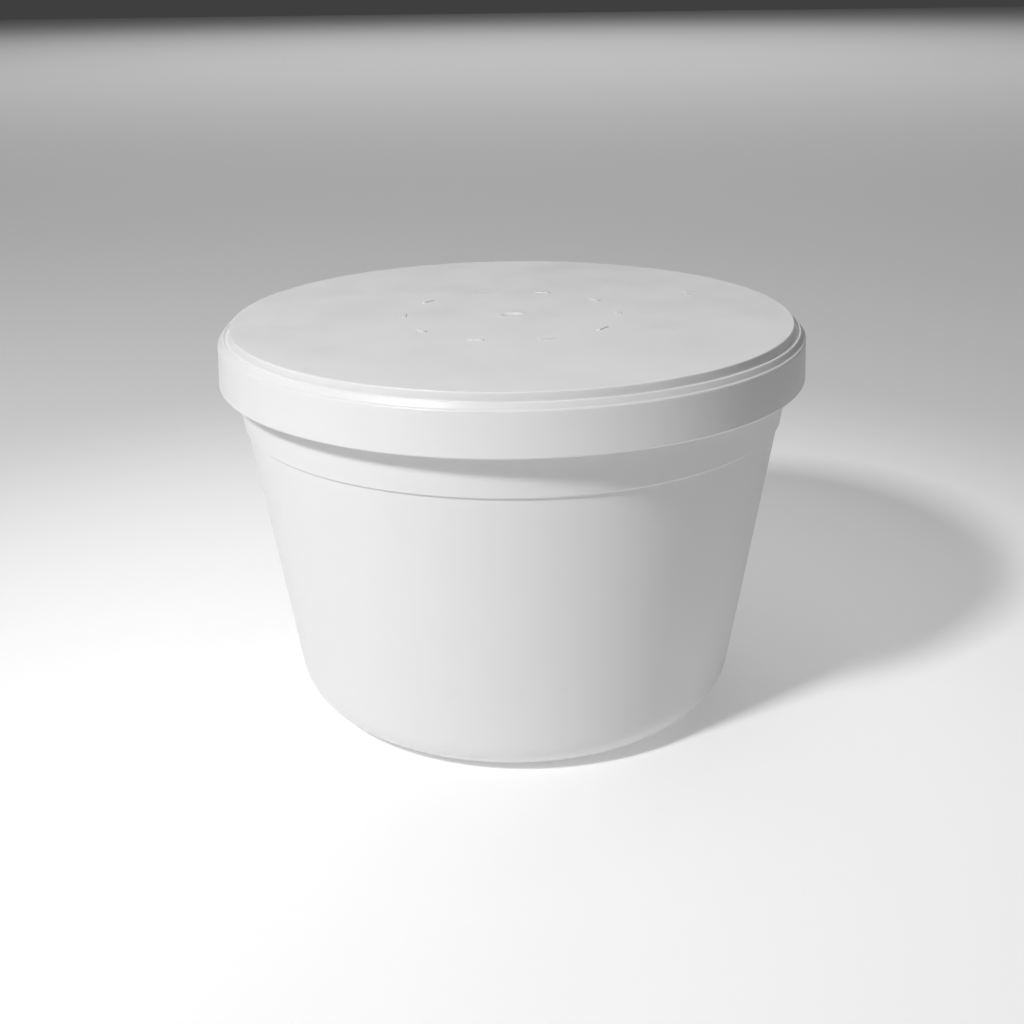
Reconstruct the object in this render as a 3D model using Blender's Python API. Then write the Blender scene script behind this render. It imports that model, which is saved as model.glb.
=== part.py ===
"""A round takeaway soup container: a tapered white tub shut with a press-on lid.

Blender 4.5 script. Units are metres, +Z is up, and the origin is the centre of the
base, on the surface that the container stands on. Both pieces are turned about Z.
The tub is one solid up to its rim, because the shut pack can't be seen into.
"""

from math import atan, cos, pi, radians, sin, sqrt

import bmesh
import bpy

MM = 0.001

# Driving dimensions of the whole.
LID_DIAMETER = 117.0 * MM
HEIGHT = 79.6 * MM
LID_WALL = 0.8 * MM
CLEARANCE = 0.3 * MM

# Lid: a raised flat panel with a moulding gate's dimple at its centre, a short wall down
# into a narrow groove, a slanted ring outside the groove, and below a small ledge a
# skirt that opens a little towards its lower edge.
LID_RADIUS = LID_DIAMETER / 2
GATE_RADIUS = 2.6 * MM
GATE_FLOOR_RADIUS = 1.2 * MM
GATE_DEPTH = 0.45 * MM
PANEL_RADIUS = 55.8 * MM
PANEL_EDGE_ROUND = 0.25 * MM
PANEL_WALL_LEAN = 0.25 * MM
GROOVE_FLOOR_Z = 77.75 * MM
GROOVE_FLOOR_WIDTH = 0.6 * MM
RING_INNER_RADIUS = 56.9 * MM
RING_INNER_Z = 78.45 * MM
RING_OUTER_RADIUS = 57.65 * MM
RING_OUTER_Z = 77.05 * MM
SKIRT_TOP_Z = 76.85 * MM
SKIRT_DRAFT = 0.4 * MM
SKIRT_BOTTOM = 68.6 * MM
SKIRT_EDGE_ROUND = 0.45 * MM
INNER_EDGE_BEVEL = 0.15 * MM
INNER_CORNER_BEVEL = 0.6 * MM
SNAP_RIB_Z = 72.2 * MM
SNAP_RIB_LENGTH = 1.6 * MM
SNAP_RIB_HEIGHT = 0.5 * MM

# Tub: one straight taper with a narrow ledge near its top, a rim lip that the lid
# snaps over, a rounded bottom corner, and a foot ring round a shallow recess.
WALL_SLOPE = 0.148
BASE_RADIUS = 44.8 * MM
CORNER_ROUND = 8.8 * MM
LEDGE_Z = 60.2 * MM
LEDGE_WIDTH = 0.4 * MM
RIM_LIP = 0.35 * MM
RIM_HEIGHT = 3.0 * MM
RIM_ROUND = 0.8 * MM
RECESS_RADIUS = 33.0 * MM
RECESS_DEPTH = 0.8 * MM
RECESS_SLOPE_WIDTH = 1.0 * MM

# Heights and radii that follow from the driving dimensions.
GROOVE_RADIUS = PANEL_RADIUS + PANEL_WALL_LEAN
GROOVE_CEILING_Z = GROOVE_FLOOR_Z - LID_WALL
SKIRT_EDGE_Z = SKIRT_BOTTOM + SKIRT_EDGE_ROUND
SKIRT_TOP_RADIUS = LID_RADIUS - SKIRT_DRAFT
RIM_TOP_Z = GROOVE_CEILING_Z - CLEARANCE

# How finely the round forms are divided.
SEGMENTS = 96
CORNER_STEPS = 8
SMALL_ROUND_STEPS = 3
SHARP_ANGLE = radians(40)
MERGE_DISTANCE = 0.001 * MM

PLASTIC = (0.86, 0.86, 0.86, 1.0)
PLASTIC_ROUGHNESS = 0.42


def clear_scene():
    """Remove every object that the file starts with."""
    for leftover in list(bpy.data.objects):
        bpy.data.objects.remove(leftover, do_unlink=True)


def plastic(name):
    """White moulded polypropylene."""
    material = bpy.data.materials.new(name)
    material.use_nodes = True
    shader = material.node_tree.nodes["Principled BSDF"]
    shader.inputs["Base Color"].default_value = PLASTIC
    shader.inputs["Roughness"].default_value = PLASTIC_ROUGHNESS
    shader.inputs["Metallic"].default_value = 0.0
    return material


def arc(centre_r, centre_z, radius, start, end, steps):
    """Points (r, z) along an arc, from angle start to angle end in radians."""
    turns = (start + (end - start) * step / steps for step in range(steps + 1))
    return [(centre_r + radius * cos(turn), centre_z + radius * sin(turn)) for turn in turns]


def wall_radius(z):
    """Outer radius of the tub's straight taper at height z, below the ledge."""
    return BASE_RADIUS + WALL_SLOPE * z


def skirt_inner_radius(z):
    """Inner radius of the lid's skirt at height z."""
    rise = (z - SKIRT_EDGE_Z) / (SKIRT_TOP_Z - SKIRT_EDGE_Z)
    return LID_RADIUS - LID_WALL - SKIRT_DRAFT * rise


def lid_outside():
    """The lid's section from its top centre down its outer side to the skirt's lower edge."""
    gate = [
        (0.0, HEIGHT - GATE_DEPTH),
        (GATE_FLOOR_RADIUS, HEIGHT - GATE_DEPTH),
        (GATE_RADIUS, HEIGHT),
    ]
    panel_edge = arc(
        PANEL_RADIUS - PANEL_EDGE_ROUND,
        HEIGHT - PANEL_EDGE_ROUND,
        PANEL_EDGE_ROUND,
        pi / 2,
        atan(PANEL_WALL_LEAN / (HEIGHT - GROOVE_FLOOR_Z)),
        SMALL_ROUND_STEPS,
    )
    groove = [
        (GROOVE_RADIUS, GROOVE_FLOOR_Z),
        (GROOVE_RADIUS + GROOVE_FLOOR_WIDTH, GROOVE_FLOOR_Z),
    ]
    ring = [(RING_INNER_RADIUS, RING_INNER_Z), (RING_OUTER_RADIUS, RING_OUTER_Z)]
    skirt_top = [(SKIRT_TOP_RADIUS, SKIRT_TOP_Z)]
    skirt_edge = arc(
        LID_RADIUS - SKIRT_EDGE_ROUND,
        SKIRT_EDGE_Z,
        SKIRT_EDGE_ROUND,
        0.0,
        -pi / 2,
        SMALL_ROUND_STEPS,
    )
    return gate + panel_edge + groove + ring + skirt_top + skirt_edge


def lid_inside():
    """The lid's section from the skirt's lower edge up its inner side to the panel's underside."""
    inner_edge = [
        (LID_RADIUS - LID_WALL + INNER_EDGE_BEVEL, SKIRT_BOTTOM),
        (LID_RADIUS - LID_WALL, SKIRT_BOTTOM + INNER_EDGE_BEVEL),
    ]
    rib_bottom = SNAP_RIB_Z - SNAP_RIB_LENGTH / 2
    rib_top = SNAP_RIB_Z + SNAP_RIB_LENGTH / 2
    snap_rib = [
        (skirt_inner_radius(rib_bottom), rib_bottom),
        (skirt_inner_radius(SNAP_RIB_Z) - SNAP_RIB_HEIGHT, SNAP_RIB_Z),
        (skirt_inner_radius(rib_top), rib_top),
    ]
    ceiling = [
        (SKIRT_TOP_RADIUS - LID_WALL, GROOVE_CEILING_Z - INNER_CORNER_BEVEL),
        (SKIRT_TOP_RADIUS - LID_WALL - INNER_CORNER_BEVEL, GROOVE_CEILING_Z),
        (GROOVE_RADIUS - LID_WALL, GROOVE_CEILING_Z),
        (PANEL_RADIUS - LID_WALL, HEIGHT - LID_WALL),
        (0.0, HEIGHT - LID_WALL),
    ]
    return inner_edge + snap_rib + ceiling


def tub_section():
    """The tub's section from its top centre down its outer side to the centre of its base."""
    rim_bottom = RIM_TOP_Z - RIM_HEIGHT
    band_radius = wall_radius(rim_bottom) + LEDGE_WIDTH
    rim_radius = band_radius + RIM_LIP
    rim = arc(
        rim_radius - RIM_ROUND,
        RIM_TOP_Z - RIM_ROUND,
        RIM_ROUND,
        pi / 2,
        0.0,
        SMALL_ROUND_STEPS,
    )
    under_rim = [(rim_radius, rim_bottom + RIM_LIP), (band_radius, rim_bottom)]
    ledge = [
        (wall_radius(LEDGE_Z) + LEDGE_WIDTH, LEDGE_Z),
        (wall_radius(LEDGE_Z), LEDGE_Z),
    ]
    # The corner's arc touches the foot's plane and the tapered wall.
    corner = arc(
        wall_radius(CORNER_ROUND) - CORNER_ROUND * sqrt(1 + WALL_SLOPE**2),
        CORNER_ROUND,
        CORNER_ROUND,
        -atan(WALL_SLOPE),
        -pi / 2,
        CORNER_STEPS,
    )
    recess = [
        (RECESS_RADIUS + RECESS_SLOPE_WIDTH, 0.0),
        (RECESS_RADIUS, RECESS_DEPTH),
        (0.0, RECESS_DEPTH),
    ]
    return [(0.0, RIM_TOP_Z)] + rim + under_rim + ledge + corner + recess


def turned(name, section, material):
    """A closed solid turned from a section about Z, which starts and ends on the axis."""
    shape = bmesh.new()
    points = [shape.verts.new((r, 0.0, z)) for r, z in section]
    lines = [shape.edges.new(pair) for pair in zip(points, points[1:])]
    bmesh.ops.spin(
        shape,
        geom=points + lines,
        cent=(0.0, 0.0, 0.0),
        axis=(0.0, 0.0, 1.0),
        angle=2 * pi,
        steps=SEGMENTS,
        use_merge=True,
    )
    bmesh.ops.remove_doubles(shape, verts=shape.verts, dist=MERGE_DISTANCE)
    bmesh.ops.recalc_face_normals(shape, faces=shape.faces)
    mesh = bpy.data.meshes.new(name)
    shape.to_mesh(mesh)
    shape.free()
    mesh.shade_smooth()
    mesh.set_sharp_from_angle(angle=SHARP_ANGLE)
    mesh.materials.append(material)
    solid = bpy.data.objects.new(name, mesh)
    bpy.context.scene.collection.objects.link(solid)


def main():
    """Build the tub and its lid."""
    clear_scene()
    turned("tub", tub_section(), plastic("tub_plastic"))
    turned("lid", lid_outside() + lid_inside(), plastic("lid_plastic"))


main()
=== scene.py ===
"""Takeaway soup container: the finish of its tub and lid, the floor, the lights and the camera.

Laid out as a Blender 4.5 add-on and run as a script. Units are metres, +Z is up.
The tub and the lid are turned forms. Each starts as a section line in the XZ plane,
which a Geometry Nodes tree rounds at its corners and turns about Z. A second tree
sets the plain bars on the lid's panel.
"""

from math import cos, hypot, pi, radians, sin, tan

import bpy
from bpy.props import FloatProperty, FloatVectorProperty, IntProperty, PointerProperty
from mathutils import Euler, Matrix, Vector


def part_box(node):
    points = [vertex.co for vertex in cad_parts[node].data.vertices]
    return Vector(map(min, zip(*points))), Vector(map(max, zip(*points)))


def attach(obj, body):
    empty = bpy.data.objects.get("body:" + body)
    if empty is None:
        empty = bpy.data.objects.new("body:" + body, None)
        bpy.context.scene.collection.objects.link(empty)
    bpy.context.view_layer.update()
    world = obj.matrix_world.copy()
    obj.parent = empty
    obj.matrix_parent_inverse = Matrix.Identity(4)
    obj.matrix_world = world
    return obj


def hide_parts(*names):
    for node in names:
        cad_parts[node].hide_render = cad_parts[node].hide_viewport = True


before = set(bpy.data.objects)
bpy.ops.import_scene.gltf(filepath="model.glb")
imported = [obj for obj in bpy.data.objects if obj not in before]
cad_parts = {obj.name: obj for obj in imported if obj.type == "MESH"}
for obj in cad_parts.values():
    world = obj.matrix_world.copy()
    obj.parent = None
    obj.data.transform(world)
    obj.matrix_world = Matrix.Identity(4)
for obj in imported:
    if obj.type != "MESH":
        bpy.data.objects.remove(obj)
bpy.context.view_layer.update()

bl_info = {
    "name": "Takeaway Soup Container",
    "version": (1, 0, 0),
    "blender": (4, 5, 0),
    "location": "3D View > Sidebar > Soup Container",
    "description": "Builds a white takeaway soup tub with its press-on lid, and a stage for it",
    "category": "Add Mesh",
}

MM = 0.001
BODY = "root"
TAB = "Soup Container"

# The construction model's own boxes. The tub and the lid fill them to within 0.1 mm.
LID_LOW, LID_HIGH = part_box("lid")
TUB_LOW, TUB_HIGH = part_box("tub")

ROUNDING = "rounding"
TURN_STEPS = 288
MERGE_DISTANCE = 0.001 * MM
POLYPROPYLENE_IOR = 1.49

# The moulding gate at the panel's centre: a shallow dimple inside a low raised rim.
GATE_DEPTH = 0.28 * MM
GATE_FLOOR_RADIUS = 0.90 * MM
GATE_RIM_RADIUS = 2.30 * MM
GATE_RIM_RISE = 0.05 * MM
GATE_FADE_RADIUS = 3.80 * MM

# Where the single bar lies on the lid's panel.
SIDE_BAR_PLACE = (37.5 * MM, 18.0 * MM, 0.0)

# The stage, in metres: the floor's half side, the distances between which its painted glow fades out, and
# the wide light over the far floor.
FLOOR_HALF = 6.0
GLOW_START = 0.10
GLOW_END = 0.26
BACK_LIGHT_SIDE = 3.0
BACK_LIGHT_PLACE = (0.0, 2.5, 1.5)


# Small helpers.


def linear(code):
    """An sRGB hex colour such as #F0F0F0 as linear red, green and blue."""
    values = [int(code[place : place + 2], 16) / 255 for place in (1, 3, 5)]
    return [v / 12.92 if v <= 0.04045 else ((v + 0.055) / 1.055) ** 2.4 for v in values]


def add_node(tree, kind, inputs=None, **settings):
    """Add a node with its settings. Each input, by name or number, is a value or a socket to link."""
    node = tree.nodes.new(kind)
    node.location = (180 * len(tree.nodes), 0)
    for name, value in settings.items():
        setattr(node, name, value)
    for name, value in (inputs or {}).items():
        if isinstance(value, bpy.types.NodeSocket):
            tree.links.new(value, node.inputs[name])
        else:
            node.inputs[name].default_value = value
    return node


def new_geometry_tree(name, inputs):
    """An empty Geometry Nodes tree with named inputs, given as name: (socket kind, default)."""
    tree = bpy.data.node_groups.new(name, "GeometryNodeTree")
    tree.is_modifier = True
    tree.interface.new_socket("Geometry", in_out="OUTPUT", socket_type="NodeSocketGeometry")
    for label, (kind, default) in inputs.items():
        socket = tree.interface.new_socket(label, in_out="INPUT", socket_type="NodeSocket" + kind)
        if default is not None:
            socket.default_value = default
    return tree


def end_tree(tree, geometry, material):
    """Close a tree with real geometry in one material."""
    real = add_node(tree, "GeometryNodeRealizeInstances", {"Geometry": geometry})
    painted = add_node(
        tree,
        "GeometryNodeSetMaterial",
        {"Geometry": real.outputs["Geometry"], "Material": material},
    )
    add_node(tree, "NodeGroupOutput", {"Geometry": painted.outputs["Geometry"]})


def grown_by_nodes(name, start, tree, values, sharp_angle=radians(50)):
    """An object called name: the mesh start, grown by a Geometry Nodes tree into a plain mesh."""
    piece = bpy.data.objects.new(name, start)
    bpy.context.scene.collection.objects.link(piece)
    modifier = piece.modifiers.new("Shape", "NODES")
    modifier.node_group = tree
    for item in tree.interface.items_tree:
        if item.in_out == "INPUT" and item.name in values:
            modifier[item.identifier] = values[item.name]
    bpy.context.view_layer.update()
    graph = bpy.context.evaluated_depsgraph_get()
    mesh = bpy.data.meshes.new_from_object(piece.evaluated_get(graph), depsgraph=graph)
    piece.modifiers.clear()
    piece.data = mesh
    mesh.name = name
    if not mesh.polygons:
        raise RuntimeError(f"{name} came out of its nodes with no faces")
    mesh.shade_smooth()
    mesh.set_sharp_from_angle(angle=sharp_angle)
    return piece


def finish_piece(piece, slot, *nodes):
    """Let a finished piece ride on the body, in place of CAD nodes. The slot argument is not used."""
    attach(piece, BODY)
    if nodes:
        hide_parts(*nodes)


# Sections and the tree that turns them.


def section_mesh(name, corners, spacing):
    """A section line through corners, each (radius, height, rounding).

    Points stand close to both ends of each rounding, so that its shading stays off the flats,
    and at most spacing apart in between.
    """
    margin = 0.12 * MM
    points = []
    for before, corner, after in zip([None] + corners[:-1], corners, corners[1:] + [None]):
        if not (before and after):
            reach = 0.0
        else:
            into = Vector(corner[:2]) - Vector(before[:2])
            out = Vector(after[:2]) - Vector(corner[:2])
            reach = corner[2] * tan(abs(into.angle_signed(out)) / 2) + margin
        points.append((*corner, reach))
    line = []
    for (r0, z0, round0, reach0), (r1, z1, _, reach1) in zip(points, points[1:]):
        length = hypot(r1 - r0, z1 - z0)
        line.append((r0, z0, round0))
        free = length - reach0 - reach1
        if free > margin:
            steps = max(1, round(free / spacing))
            stops = [(reach0 + free * step / steps) / length for step in range(steps + 1)]
            line += [(r0 + (r1 - r0) * t, z0 + (z1 - z0) * t, 0.0) for t in stops if 0 < t < 1]
    line.append(points[-1][:3])
    mesh = bpy.data.meshes.new(name)
    edges = [(number, number + 1) for number in range(len(line) - 1)]
    mesh.from_pydata([(r, 0.0, z) for r, z, _ in line], edges, [])
    attribute = mesh.attributes.new(ROUNDING, "FLOAT", "POINT")
    attribute.data.foreach_set("value", [rounding for _, _, rounding in line])
    return mesh


def turned_form_tree():
    """Turn a section line about Z: its corners are rounded, and the surface gets a moulding's unevenness."""
    tree = new_geometry_tree(
        "Turned Form",
        {
            "Section": ("Geometry", None),
            "Turn Steps": ("Int", 256),
            "Round Steps": ("Int", 6),
            "Unevenness": ("Float", 0.05 * MM),
            "Unevenness Size": ("Float", 20 * MM),
            "Unevenness Seed": ("Float", 1.0),
            "Merge Distance": ("Float", MERGE_DISTANCE),
            "Material": ("Material", None),
        },
    )
    given = add_node(tree, "NodeGroupInput").outputs
    rounding = add_node(tree, "GeometryNodeInputNamedAttribute", {"Name": ROUNDING}, data_type="FLOAT")
    line = add_node(tree, "GeometryNodeMeshToCurve", {"Mesh": given["Section"]})
    section = add_node(
        tree,
        "GeometryNodeFilletCurve",
        {
            "Curve": line.outputs["Curve"],
            "Count": given["Round Steps"],
            "Radius": rounding.outputs["Attribute"],
            "Limit Radius": False,
        },
        mode="POLY",
    ).outputs["Curve"]
    size = add_node(tree, "GeometryNodeAttributeDomainSize", {"Geometry": section}, component="CURVE")
    rings = size.outputs["Point Count"]

    # A grid of one column for each step of the turn and one row for each point of the section.
    columns = add_node(tree, "ShaderNodeMath", {0: given["Turn Steps"], 1: 1.0}, operation="ADD")
    grid = add_node(
        tree,
        "GeometryNodeMeshGrid",
        {"Vertices X": columns.outputs["Value"], "Vertices Y": rings},
    )
    index = add_node(tree, "GeometryNodeInputIndex").outputs["Index"]
    row = add_node(tree, "ShaderNodeMath", {0: index, 1: rings}, operation="MODULO")
    place = add_node(tree, "ShaderNodeMath", {0: index, 1: rings}, operation="DIVIDE")
    column = add_node(tree, "ShaderNodeMath", {0: place.outputs["Value"]}, operation="FLOOR")
    share = add_node(
        tree,
        "ShaderNodeMath",
        {0: column.outputs["Value"], 1: given["Turn Steps"]},
        operation="DIVIDE",
    )
    turn = add_node(tree, "ShaderNodeMath", {0: share.outputs["Value"], 1: 2 * pi}, operation="MULTIPLY")
    position = add_node(tree, "GeometryNodeInputPosition").outputs["Position"]
    sample = add_node(
        tree,
        "GeometryNodeSampleIndex",
        {"Geometry": section, "Value": position, "Index": row.outputs["Value"]},
        data_type="FLOAT_VECTOR",
        domain="POINT",
    )
    turned = add_node(
        tree,
        "ShaderNodeVectorRotate",
        {"Vector": sample.outputs["Value"], "Angle": turn.outputs["Value"]},
        rotation_type="Z_AXIS",
    )
    surface = add_node(
        tree,
        "GeometryNodeSetPosition",
        {"Geometry": grid.outputs["Mesh"], "Position": turned.outputs["Vector"]},
    )
    closed = add_node(
        tree,
        "GeometryNodeMergeByDistance",
        {"Geometry": surface.outputs["Geometry"], "Distance": given["Merge Distance"]},
    )

    outward = add_node(tree, "GeometryNodeFlipFaces", {"Mesh": closed.outputs["Geometry"]})

    # Moulded walls are never quite even: they rise and sink a little over a few centimetres.
    pitch = add_node(tree, "ShaderNodeMath", {0: 1.0, 1: given["Unevenness Size"]}, operation="DIVIDE")
    noise = add_node(
        tree,
        "ShaderNodeTexNoise",
        {
            "Vector": position,
            "W": given["Unevenness Seed"],
            "Scale": pitch.outputs["Value"],
            "Detail": 1.0,
        },
        noise_dimensions="4D",
    )
    height = add_node(
        tree,
        "ShaderNodeMapRange",
        {"Value": noise.outputs["Fac"], "From Min": 0.3, "From Max": 0.7, "To Min": -1.0, "To Max": 0.0},
    )
    rise = add_node(
        tree,
        "ShaderNodeMath",
        {0: height.outputs["Result"], 1: given["Unevenness"]},
        operation="MULTIPLY",
    )
    normal = add_node(tree, "GeometryNodeInputNormal").outputs["Normal"]
    offset = add_node(
        tree,
        "ShaderNodeVectorMath",
        {0: normal, "Scale": rise.outputs["Value"]},
        operation="SCALE",
    )
    uneven = add_node(
        tree,
        "GeometryNodeSetPosition",
        {"Geometry": outward.outputs["Mesh"], "Offset": offset.outputs["Vector"]},
    )
    end_tree(tree, uneven.outputs["Geometry"], given["Material"])
    return tree


def marks_tree():
    """A ring of low plain bars and one longer bar beside it, sunk a little into the panel."""
    tree = new_geometry_tree(
        "Lid Marks",
        {
            "Bars": ("Int", 10),
            "Ring Radius": ("Float", 21.5 * MM),
            "Bar Size": ("Vector", (0.9 * MM, 3.0 * MM, 0.4 * MM)),
            "Side Bar Size": ("Vector", (0.9 * MM, 5.0 * MM, 0.4 * MM)),
            "Side Bar Place": ("Vector", (38.0 * MM, 18.0 * MM, 0.0)),
            "Height": ("Float", 79.3 * MM),
            "Material": ("Material", None),
        },
    )
    given = add_node(tree, "NodeGroupInput").outputs
    ring = add_node(
        tree,
        "GeometryNodeMeshCircle",
        {"Vertices": given["Bars"], "Radius": given["Ring Radius"]},
    )
    place = add_node(tree, "GeometryNodeInputPosition").outputs["Position"]
    parts = add_node(tree, "ShaderNodeSeparateXYZ", {"Vector": place})
    turn = add_node(
        tree,
        "ShaderNodeMath",
        {0: parts.outputs["Y"], 1: parts.outputs["X"]},
        operation="ARCTAN2",
    )
    turned = add_node(tree, "ShaderNodeCombineXYZ", {"Z": turn.outputs["Value"]})
    bar = add_node(tree, "GeometryNodeMeshCube", {"Size": given["Bar Size"]})
    bars = add_node(
        tree,
        "GeometryNodeInstanceOnPoints",
        {
            "Points": ring.outputs["Mesh"],
            "Instance": bar.outputs["Mesh"],
            "Rotation": turned.outputs["Vector"],
        },
    )
    side_bar = add_node(tree, "GeometryNodeMeshCube", {"Size": given["Side Bar Size"]})
    beside = add_node(
        tree,
        "GeometryNodeTransform",
        {"Geometry": side_bar.outputs["Mesh"], "Translation": given["Side Bar Place"]},
    )
    both = add_node(tree, "GeometryNodeJoinGeometry", {"Geometry": bars.outputs["Instances"]})
    tree.links.new(beside.outputs["Geometry"], both.inputs["Geometry"])
    lift = add_node(tree, "ShaderNodeCombineXYZ", {"Z": given["Height"]})
    lifted = add_node(
        tree,
        "GeometryNodeTransform",
        {"Geometry": both.outputs["Geometry"], "Translation": lift.outputs["Vector"]},
    )
    end_tree(tree, lifted.outputs["Geometry"], given["Material"])
    return tree


# Materials.


def moulded_polypropylene(name, look, satin_grain, roughness):
    """White injection-moulded polypropylene.

    The mould is turned and blasted, so the plastic comes out satin: a fine even grain and soft highlights. A
    thin wall lets a little light in.
    """
    material = bpy.data.materials.new(name)
    material.use_nodes = True
    tree = material.node_tree
    shader = tree.nodes["Principled BSDF"]
    shader.inputs["IOR"].default_value = POLYPROPYLENE_IOR
    shader.inputs["Metallic"].default_value = 0.0
    shader.inputs["Subsurface Weight"].default_value = look.translucency
    shader.inputs["Subsurface Scale"].default_value = look.light_depth
    shader.inputs["Subsurface Radius"].default_value = (1.0, 1.0, 1.0)
    spot = add_node(tree, "ShaderNodeTexCoord").outputs["Object"]

    # The plastic cools unevenly, which leaves wide, very faint clouds in its tone and gloss.
    cloud = add_node(
        tree,
        "ShaderNodeTexNoise",
        {"Vector": spot, "Scale": 1 / look.cloud_size, "Detail": 3.0, "Roughness": 0.6},
    ).outputs["Fac"]
    tone = add_node(
        tree,
        "ShaderNodeMix",
        {"Factor": cloud, "A": (*look.cool_white, 1.0), "B": (*look.white, 1.0)},
        data_type="RGBA",
    )
    tree.links.new(tone.outputs["Result"], shader.inputs["Base Color"])
    gloss = add_node(
        tree,
        "ShaderNodeMapRange",
        {
            "Value": cloud,
            "From Min": 0.35,
            "From Max": 0.65,
            "To Min": roughness - look.gloss_change,
            "To Max": roughness + look.gloss_change,
        },
    )
    tree.links.new(gloss.outputs["Result"], shader.inputs["Roughness"])

    grain = add_node(
        tree,
        "ShaderNodeTexNoise",
        {"Vector": spot, "Scale": 1 / satin_grain, "Detail": 2.0, "Roughness": 0.5},
    )
    rough = add_node(
        tree,
        "ShaderNodeBump",
        {"Strength": 1.0, "Distance": look.grain_depth, "Height": grain.outputs["Fac"]},
    )
    tree.links.new(rough.outputs["Normal"], shader.inputs["Normal"])
    return material


# Sizes and colours that a user would change.


class SoupContainerTub(bpy.types.PropertyGroup):
    """Sizes of the tub."""

    wall_slope: FloatProperty(
        name="Wall slope",
        description="How far the wall leans out for each unit of height",
        default=0.148,
    )
    base_radius: FloatProperty(
        name="Base radius",
        description="Radius where the wall's line meets the ground",
        default=44.8 * MM,
        unit="LENGTH",
    )
    corner_round: FloatProperty(
        name="Bottom corner",
        description="Radius of the rounded bottom corner",
        default=8.8 * MM,
        unit="LENGTH",
    )
    ledge_height: FloatProperty(
        name="Ledge height",
        description="Height of the narrow ledge near the top of the wall",
        default=60.2 * MM,
        unit="LENGTH",
    )
    ledge_width: FloatProperty(
        name="Ledge width",
        description="How far the band above the ledge stands out",
        default=0.4 * MM,
        unit="LENGTH",
    )
    rim_height: FloatProperty(
        name="Rim height",
        description="Height of the lip that the lid grips",
        default=3.0 * MM,
        unit="LENGTH",
    )
    rim_lip: FloatProperty(
        name="Rim lip",
        description="How far the lip stands out from the band",
        default=0.35 * MM,
        unit="LENGTH",
    )
    recess_radius: FloatProperty(
        name="Recess radius",
        description="Radius of the shallow recess in the base",
        default=33.0 * MM,
        unit="LENGTH",
    )
    recess_depth: FloatProperty(
        name="Recess depth",
        description="Depth of the shallow recess in the base",
        default=0.8 * MM,
        unit="LENGTH",
    )
    unevenness: FloatProperty(
        name="Unevenness",
        description="How far the moulded wall sinks in places",
        default=0.06 * MM,
        unit="LENGTH",
    )


class SoupContainerLid(bpy.types.PropertyGroup):
    """Sizes of the lid."""

    wall: FloatProperty(
        name="Wall",
        description="Thickness of the moulded wall",
        default=0.8 * MM,
        unit="LENGTH",
    )
    mark_height: FloatProperty(
        name="Mark height",
        description="How far the raised marks stand above the panel",
        default=0.14 * MM,
        unit="LENGTH",
    )
    panel_radius: FloatProperty(
        name="Panel radius",
        description="Radius of the raised flat panel",
        default=55.8 * MM,
        unit="LENGTH",
    )
    panel_lean: FloatProperty(
        name="Panel wall lean",
        description="How far the panel's short wall leans out",
        default=0.25 * MM,
        unit="LENGTH",
    )
    groove_depth: FloatProperty(
        name="Groove depth",
        description="Depth of the groove round the panel, below the panel",
        default=1.85 * MM,
        unit="LENGTH",
    )
    groove_width: FloatProperty(
        name="Groove width",
        description="Width of the groove's floor",
        default=0.6 * MM,
        unit="LENGTH",
    )
    ring_drop: FloatProperty(
        name="Ring drop",
        description="How far the ring's inner edge lies below the panel",
        default=1.15 * MM,
        unit="LENGTH",
    )
    ring_width: FloatProperty(
        name="Ring width",
        description="Width of the slanted ring outside the groove",
        default=0.75 * MM,
        unit="LENGTH",
    )
    ring_height: FloatProperty(
        name="Ring height",
        description="Height of the slanted ring outside the groove",
        default=1.4 * MM,
        unit="LENGTH",
    )
    skirt_drop: FloatProperty(
        name="Skirt drop",
        description="How far the skirt's upper edge lies below the panel",
        default=2.75 * MM,
        unit="LENGTH",
    )
    skirt_draft: FloatProperty(
        name="Skirt draft",
        description="How far the skirt opens towards its lower edge",
        default=0.4 * MM,
        unit="LENGTH",
    )
    edge_round: FloatProperty(
        name="Skirt edge",
        description="Rounding of the skirt's lower edge",
        default=0.45 * MM,
        unit="LENGTH",
    )
    rib_height: FloatProperty(
        name="Snap rib height",
        description="How far the snap rib stands into the skirt",
        default=0.5 * MM,
        unit="LENGTH",
    )
    rib_rise: FloatProperty(
        name="Snap rib rise",
        description="Height of the snap rib above the skirt's lower edge",
        default=3.6 * MM,
        unit="LENGTH",
    )
    unevenness: FloatProperty(
        name="Unevenness",
        description="How far the moulded panel sinks in places",
        default=0.05 * MM,
        unit="LENGTH",
    )


class SoupContainerMarks(bpy.types.PropertyGroup):
    """Sizes of the raised marks on the lid."""

    bars: IntProperty(
        name="Bars",
        description="How many plain bars stand in the ring",
        default=10,
        min=1,
    )
    ring_radius: FloatProperty(
        name="Ring radius",
        description="Radius of the ring of bars",
        default=21.5 * MM,
        unit="LENGTH",
    )
    bar_length: FloatProperty(
        name="Bar length",
        description="Length of each bar in the ring",
        default=3.0 * MM,
        unit="LENGTH",
    )
    bar_width: FloatProperty(
        name="Bar width",
        description="Width of every bar",
        default=0.9 * MM,
        unit="LENGTH",
    )
    side_bar_length: FloatProperty(
        name="Side bar length",
        description="Length of the single bar at the panel's right",
        default=5.0 * MM,
        unit="LENGTH",
    )
    depth: FloatProperty(
        name="Sunk depth",
        description="How deep the bars reach into the panel",
        default=0.3 * MM,
        unit="LENGTH",
    )


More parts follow.
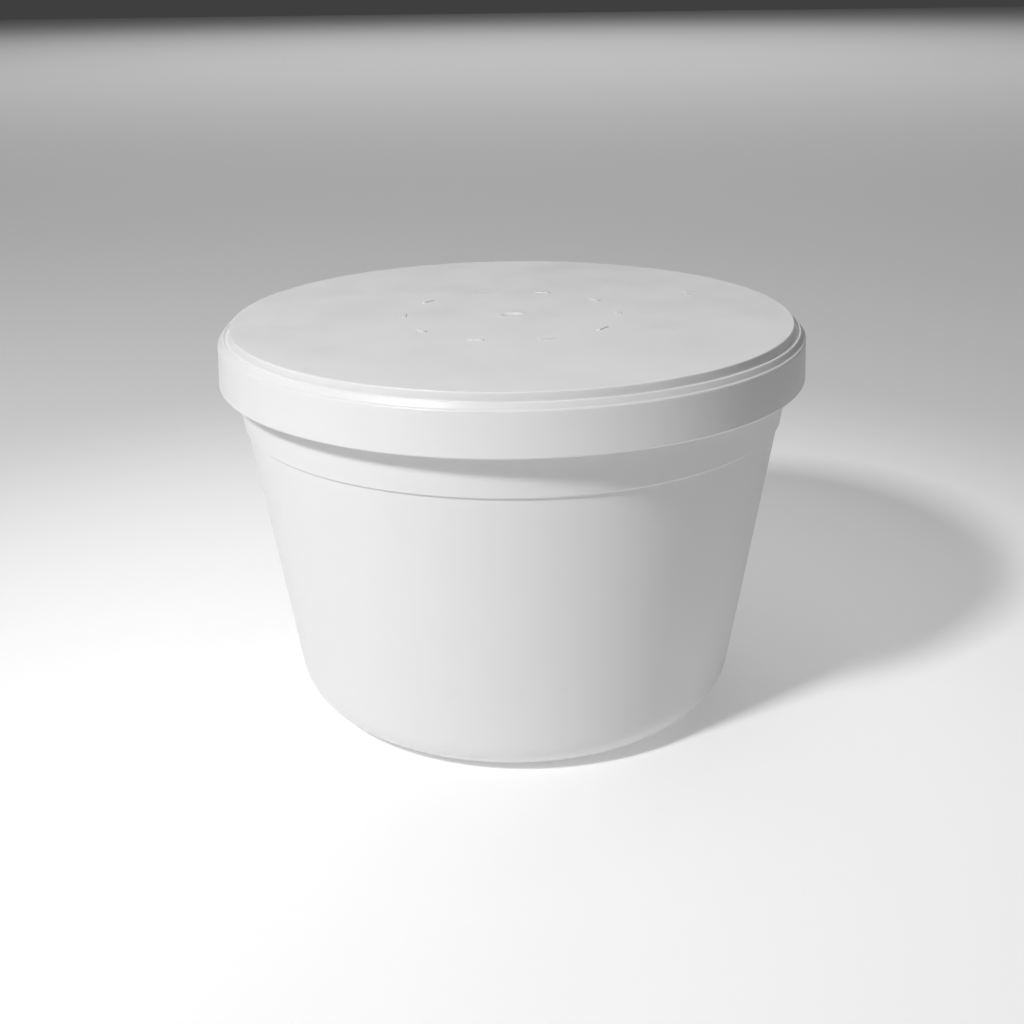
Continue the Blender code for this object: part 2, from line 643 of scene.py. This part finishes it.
class SoupContainerPlastic(bpy.types.PropertyGroup):
    """Look of the white plastic."""

    white: FloatVectorProperty(
        name="White",
        description="Main colour of the plastic",
        default=linear("#ECECEC"),
        subtype="COLOR",
        min=0.0,
        max=1.0,
    )
    cool_white: FloatVectorProperty(
        name="Cloud white",
        description="Colour of the faint clouds in the plastic",
        default=linear("#E9E9E9"),
        subtype="COLOR",
        min=0.0,
        max=1.0,
    )
    translucency: FloatProperty(
        name="Translucency",
        description="Share of light that goes into the plastic and comes out again",
        default=0.15,
        subtype="FACTOR",
        min=0.0,
        max=0.2,
    )
    light_depth: FloatProperty(
        name="Light depth",
        description="How far light travels in the plastic",
        default=1.5 * MM,
        unit="LENGTH",
    )
    cloud_size: FloatProperty(
        name="Cloud size",
        description="Width of the faint clouds",
        default=14 * MM,
        unit="LENGTH",
    )
    gloss_change: FloatProperty(
        name="Gloss change",
        description="How much the clouds change the roughness",
        default=0.05,
        subtype="FACTOR",
    )
    grain_depth: FloatProperty(
        name="Grain depth",
        description="Depth of the satin grain",
        default=0.01 * MM,
        unit="LENGTH",
    )


class SoupContainerStage(bpy.types.PropertyGroup):
    """Floor, lights and camera."""

    floor: FloatVectorProperty(
        name="Floor",
        description="Colour of the matt floor",
        default=linear("#F2F2F2"),
        subtype="COLOR",
        min=0.0,
        max=1.0,
    )
    ambient: FloatProperty(
        name="Room light",
        description="Strength of the light that comes from all round",
        default=0.05,
    )
    # Painted light: strength of the floor's glow round the container.
    painted_floor_glow: FloatProperty(
        name="Painted floor glow",
        description="Strength of the painted glow on the floor round the container",
        default=0.2,
    )
    back_power: FloatProperty(
        name="Back power",
        description="Power of the wide soft light over the far floor",
        default=28.0,
        unit="POWER",
    )
    top_power: FloatProperty(
        name="Overhead power",
        description="Power of the wide soft light overhead",
        default=1.2,
        unit="POWER",
    )
    top_size: FloatProperty(
        name="Overhead size",
        description="Side of the wide soft light overhead",
        default=0.6,
        unit="LENGTH",
    )
    top_height: FloatProperty(
        name="Overhead height",
        description="Height of the wide soft light above the floor",
        default=1.0,
        unit="LENGTH",
    )
    key_power: FloatProperty(
        name="Softbox power",
        description="Power of the main softbox",
        default=3.3,
        unit="POWER",
    )
    key_distance: FloatProperty(
        name="Softbox distance",
        description="Distance of the main softbox from the container",
        default=0.68,
        unit="LENGTH",
    )
    key_size: FloatProperty(
        name="Softbox size",
        description="Side of the main softbox",
        default=0.075,
        unit="LENGTH",
    )
    key_azimuth: FloatProperty(
        name="Softbox direction",
        description="Direction of the main softbox, from the front towards the left",
        default=radians(42),
        unit="ROTATION",
    )
    key_elevation: FloatProperty(
        name="Softbox height",
        description="Height of the main softbox above the horizon",
        default=radians(42.3),
        unit="ROTATION",
    )
    camera_distance: FloatProperty(
        name="Camera distance",
        description="Distance of the camera from the point that it looks at",
        default=292.5 * MM,
        unit="LENGTH",
    )
    camera_elevation: FloatProperty(
        name="Camera height",
        description="Height of the camera above the horizon",
        default=radians(21.14),
        unit="ROTATION",
    )
    camera_roll: FloatProperty(
        name="Camera roll",
        description="Tilt of the camera about its line of sight",
        default=radians(-0.73),
        unit="ROTATION",
    )
    lens: FloatProperty(
        name="Lens",
        description="Focal length in millimetres on a 36 mm sensor",
        default=48.6,
    )


# Operators: one for each piece or group of like pieces, and one for the stage.


class SOUPCONTAINER_OT_tub(bpy.types.Operator):
    """Turn the tapered tub with its rim, ledge, rounded corner and recessed base"""

    bl_idname = "soup_container.tub"
    bl_label = "Tub"

    def execute(self, context):
        sizes = context.scene.soup_container_tub
        ledge_r = sizes.base_radius + sizes.wall_slope * sizes.ledge_height
        rim_top = TUB_HIGH.z
        rim_bottom = rim_top - sizes.rim_height
        band_r = sizes.base_radius + sizes.wall_slope * rim_bottom + sizes.ledge_width
        rim_r = band_r + sizes.rim_lip
        recess_edge = sizes.recess_radius + 1.0 * MM
        corners = [
            (0.0, rim_top, 0.0),
            (rim_r, rim_top, 0.8 * MM),
            (rim_r, rim_bottom + sizes.rim_lip, 0.1 * MM),
            (band_r, rim_bottom, 0.1 * MM),
            (ledge_r + sizes.ledge_width, sizes.ledge_height, 0.22 * MM),
            (ledge_r, sizes.ledge_height, 0.1 * MM),
            (sizes.base_radius, 0.0, sizes.corner_round),
            (recess_edge, 0.0, 0.4 * MM),
            (sizes.recess_radius, sizes.recess_depth, 0.4 * MM),
            (0.0, sizes.recess_depth, 0.0),
        ]
        material = moulded_polypropylene(
            "Moulded polypropylene tub",
            context.scene.soup_container_plastic,
            satin_grain=0.5 * MM,
            roughness=0.42,
        )
        piece = grown_by_nodes(
            "tub_shell",
            section_mesh("tub_section", corners, 2.0 * MM),
            turned_form_tree(),
            {
                "Turn Steps": TURN_STEPS,
                "Round Steps": 8,
                "Unevenness": sizes.unevenness,
                "Unevenness Size": 30 * MM,
                "Unevenness Seed": 3.0,
                "Merge Distance": MERGE_DISTANCE,
                "Material": material,
            },
        )
        finish_piece(piece, "tub_plastic", "tub")
        return {"FINISHED"}


class SOUPCONTAINER_OT_lid(bpy.types.Operator):
    """Turn the lid: gate dimple, panel, short wall, groove, slanted ring, skirt and inner side"""

    bl_idname = "soup_container.lid"
    bl_label = "Lid"

    def execute(self, context):
        sizes = context.scene.soup_container_lid
        panel_z = LID_HIGH.z - sizes.mark_height
        groove_z = LID_HIGH.z - sizes.groove_depth
        ring_z = LID_HIGH.z - sizes.ring_drop
        skirt_z = LID_HIGH.z - sizes.skirt_drop
        bottom_z = LID_LOW.z
        bottom_r = LID_HIGH.x
        top_r = bottom_r - sizes.skirt_draft
        groove_r = sizes.panel_radius + sizes.panel_lean
        ring_r = groove_r + sizes.groove_width + 0.25 * MM
        inner_r = bottom_r - sizes.wall
        rib_z = bottom_z + sizes.rib_rise
        rib_half = 0.8 * MM
        ceiling_z = groove_z - sizes.wall
        corner_bevel = 0.6 * MM
        inner_slope = sizes.skirt_draft / (skirt_z - bottom_z)

        def inner_at(z):
            return inner_r - inner_slope * (z - bottom_z)

        corners = [
            (0.0, panel_z - GATE_DEPTH, 0.0),
            (GATE_FLOOR_RADIUS, panel_z - GATE_DEPTH, 0.60 * MM),
            (GATE_RIM_RADIUS, panel_z + GATE_RIM_RISE, 1.40 * MM),
            (GATE_FADE_RADIUS, panel_z, 3.00 * MM),
            (sizes.panel_radius, panel_z, 0.25 * MM),
            (groove_r, groove_z, 0.25 * MM),
            (groove_r + sizes.groove_width, groove_z, 0.25 * MM),
            (ring_r, ring_z, 0.25 * MM),
            (ring_r + sizes.ring_width, ring_z - sizes.ring_height, 0.12 * MM),
            (top_r, skirt_z, 0.40 * MM),
            (bottom_r, bottom_z, sizes.edge_round),
            (inner_r, bottom_z, 0.15 * MM),
            (inner_at(rib_z - rib_half), rib_z - rib_half, 0.2 * MM),
            (inner_at(rib_z) - sizes.rib_height, rib_z, 0.3 * MM),
            (inner_at(rib_z + rib_half), rib_z + rib_half, 0.2 * MM),
            (top_r - sizes.wall, ceiling_z - corner_bevel, 0.2 * MM),
            (top_r - sizes.wall - corner_bevel, ceiling_z, 0.2 * MM),
            (groove_r - sizes.wall, ceiling_z, 0.2 * MM),
            (sizes.panel_radius - sizes.wall, panel_z - sizes.wall, 0.2 * MM),
            (0.0, panel_z - sizes.wall, 0.0),
        ]
        material = moulded_polypropylene(
            "Moulded polypropylene lid",
            context.scene.soup_container_plastic,
            satin_grain=0.7 * MM,
            roughness=0.38,
        )
        piece = grown_by_nodes(
            "lid_shell",
            section_mesh("lid_section", corners, 2.5 * MM),
            turned_form_tree(),
            {
                "Turn Steps": TURN_STEPS,
                "Round Steps": 6,
                "Unevenness": sizes.unevenness,
                "Unevenness Size": 18 * MM,
                "Unevenness Seed": 8.0,
                "Merge Distance": MERGE_DISTANCE,
                "Material": material,
            },
        )
        finish_piece(piece, "lid_plastic", "lid")
        return {"FINISHED"}


class SOUPCONTAINER_OT_marks(bpy.types.Operator):
    """Raise the plain bars on the lid's panel"""

    bl_idname = "soup_container.marks"
    bl_label = "Marks"

    def execute(self, context):
        sizes = context.scene.soup_container_marks
        rise = context.scene.soup_container_lid.mark_height - 0.02 * MM
        tall = sizes.depth + rise
        panel_z = LID_HIGH.z - context.scene.soup_container_lid.mark_height
        material = moulded_polypropylene(
            "Moulded polypropylene marks",
            context.scene.soup_container_plastic,
            satin_grain=0.7 * MM,
            roughness=0.38,
        )
        piece = grown_by_nodes(
            "lid_marks",
            bpy.data.meshes.new("marks_start"),
            marks_tree(),
            {
                "Bars": sizes.bars,
                "Ring Radius": sizes.ring_radius,
                "Bar Size": (sizes.bar_width, sizes.bar_length, tall),
                "Side Bar Size": (sizes.bar_width, sizes.side_bar_length, tall),
                "Side Bar Place": SIDE_BAR_PLACE,
                "Height": panel_z + rise - tall / 2,
                "Material": material,
            },
        )
        finish_piece(piece, "lid_plastic")
        return {"FINISHED"}


class SOUPCONTAINER_OT_stage(bpy.types.Operator):
    """Lay the pale floor and set the softbox, the soft lights, the room light and the camera"""

    bl_idname = "soup_container.stage"
    bl_label = "Stage"

    def execute(self, context):
        stage = context.scene.soup_container_stage
        context.scene.view_settings.view_transform = "Standard"
        self.lay_floor(context, stage)
        self.hang_softbox(context, stage)
        self.hang_soft_lights(context, stage)
        self.light_room(context, stage)
        self.place_camera(context, stage)
        return {"FINISHED"}

    def lay_floor(self, context, stage):
        """A wide matt white sheet, with a painted glow round the container."""
        half = FLOOR_HALF
        mesh = bpy.data.meshes.new("floor")
        ground = TUB_LOW.z - 0.1 * MM
        square = [(-half, -half, ground), (half, -half, ground), (half, half, ground), (-half, half, ground)]
        mesh.from_pydata(square, [], [(0, 1, 2, 3)])
        material = bpy.data.materials.new("Matt white floor with painted glow")
        material.use_nodes = True
        shader = material.node_tree.nodes["Principled BSDF"]
        shader.inputs["Base Color"].default_value = (*stage.floor, 1.0)
        shader.inputs["Roughness"].default_value = 0.9
        shader.inputs["Specular IOR Level"].default_value = 0.2
        shader.inputs["Emission Color"].default_value = (1.0, 1.0, 1.0, 1.0)
        # Painted light: the floor glows round the container, brightest near it and fading out further off,
        # which lifts the floor and the tub's lower wall.
        tree = material.node_tree
        place = add_node(tree, "ShaderNodeTexCoord").outputs["Object"]
        away = add_node(tree, "ShaderNodeVectorMath", {0: place}, operation="LENGTH")
        glow = add_node(
            tree,
            "ShaderNodeMapRange",
            {
                "Value": away.outputs["Value"],
                "From Min": GLOW_START,
                "From Max": GLOW_END,
                "To Min": stage.painted_floor_glow,
                "To Max": 0.0,
            },
            interpolation_type="SMOOTHSTEP",
        )
        tree.links.new(glow.outputs["Result"], shader.inputs["Emission Strength"])
        mesh.materials.append(material)
        floor = bpy.data.objects.new("floor", mesh)
        context.scene.collection.objects.link(floor)

    def hang_softbox(self, context, stage):
        """The main light, from the left front and above."""
        light = bpy.data.lights.new("softbox", "AREA")
        light.shape = "SQUARE"
        light.size = stage.key_size
        light.energy = stage.key_power
        softbox = bpy.data.objects.new("softbox", light)
        aim = Vector((0.0, 0.0, LID_HIGH.z / 2))
        level = cos(stage.key_elevation)
        away = Vector(
            (
                -sin(stage.key_azimuth) * level,
                -cos(stage.key_azimuth) * level,
                sin(stage.key_elevation),
            )
        )
        softbox.location = aim + away * stage.key_distance
        softbox.rotation_euler = away.to_track_quat("Z", "Y").to_euler()
        context.scene.collection.objects.link(softbox)

    def hang_soft_lights(self, context, stage):
        """Two wide weak lights that face down: one overhead, one over the far floor."""
        places = {
            "overhead": (stage.top_power, stage.top_size, (0.0, 0.0, stage.top_height)),
            "back_light": (stage.back_power, BACK_LIGHT_SIDE, BACK_LIGHT_PLACE),
        }
        for name, (power, side, place) in places.items():
            light = bpy.data.lights.new(name, "AREA")
            light.shape = "SQUARE"
            light.size = side
            light.energy = power
            lamp = bpy.data.objects.new(name, light)
            lamp.location = place
            context.scene.collection.objects.link(lamp)

    def light_room(self, context, stage):
        """An even, weak light from all round."""
        world = bpy.data.worlds.new("room")
        world.use_nodes = True
        background = world.node_tree.nodes["Background"]
        background.inputs["Color"].default_value = (1.0, 1.0, 1.0, 1.0)
        background.inputs["Strength"].default_value = stage.ambient
        context.scene.world = world

    def place_camera(self, context, stage):
        """A camera in front of the container that looks down on it."""
        data = bpy.data.cameras.new("camera")
        data.lens = stage.lens
        data.sensor_width = 36.0
        camera = bpy.data.objects.new("camera", data)
        aim = Vector((-0.37 * MM, 0.0, 36.27 * MM + 0.67 * MM))
        level = cos(stage.camera_elevation)
        away = Vector((0.0, -level, sin(stage.camera_elevation)))
        camera.location = aim + away * stage.camera_distance
        look = away.to_track_quat("Z", "Y").to_matrix().to_4x4()
        camera.rotation_euler = (look @ Euler((0, 0, stage.camera_roll)).to_matrix().to_4x4()).to_euler()
        context.scene.collection.objects.link(camera)
        context.scene.camera = camera


class SOUPCONTAINER_PT_panel(bpy.types.Panel):
    """The container's sizes, colours and operators"""

    bl_label = "Soup Container"
    bl_idname = "SOUPCONTAINER_PT_panel"
    bl_space_type = "VIEW_3D"
    bl_region_type = "UI"
    bl_category = TAB

    def draw(self, context):
        for group, operators in PANEL_ROWS:
            values = getattr(context.scene, group)
            box = self.layout.box()
            for name in values.bl_rna.properties.keys():
                if name not in ("rna_type", "name"):
                    box.prop(values, name)
            for operator in operators:
                box.operator(operator)


GROUPS = {
    "soup_container_tub": SoupContainerTub,
    "soup_container_lid": SoupContainerLid,
    "soup_container_marks": SoupContainerMarks,
    "soup_container_plastic": SoupContainerPlastic,
    "soup_container_stage": SoupContainerStage,
}
OPERATORS = (
    SOUPCONTAINER_OT_tub,
    SOUPCONTAINER_OT_lid,
    SOUPCONTAINER_OT_marks,
    SOUPCONTAINER_OT_stage,
)
PANEL_ROWS = (
    ("soup_container_tub", ["soup_container.tub"]),
    ("soup_container_lid", ["soup_container.lid"]),
    ("soup_container_marks", ["soup_container.marks"]),
    ("soup_container_plastic", []),
    ("soup_container_stage", ["soup_container.stage"]),
)


def register():
    for kind in (*GROUPS.values(), *OPERATORS, SOUPCONTAINER_PT_panel):
        bpy.utils.register_class(kind)
    for name, kind in GROUPS.items():
        setattr(bpy.types.Scene, name, PointerProperty(type=kind))


def unregister():
    for name in GROUPS:
        delattr(bpy.types.Scene, name)
    for kind in (*GROUPS.values(), *OPERATORS, SOUPCONTAINER_PT_panel):
        bpy.utils.unregister_class(kind)


def main():
    register()
    bpy.ops.soup_container.stage()
    bpy.ops.soup_container.tub()
    bpy.ops.soup_container.lid()
    bpy.ops.soup_container.marks()


if __name__ == "__main__":
    main()
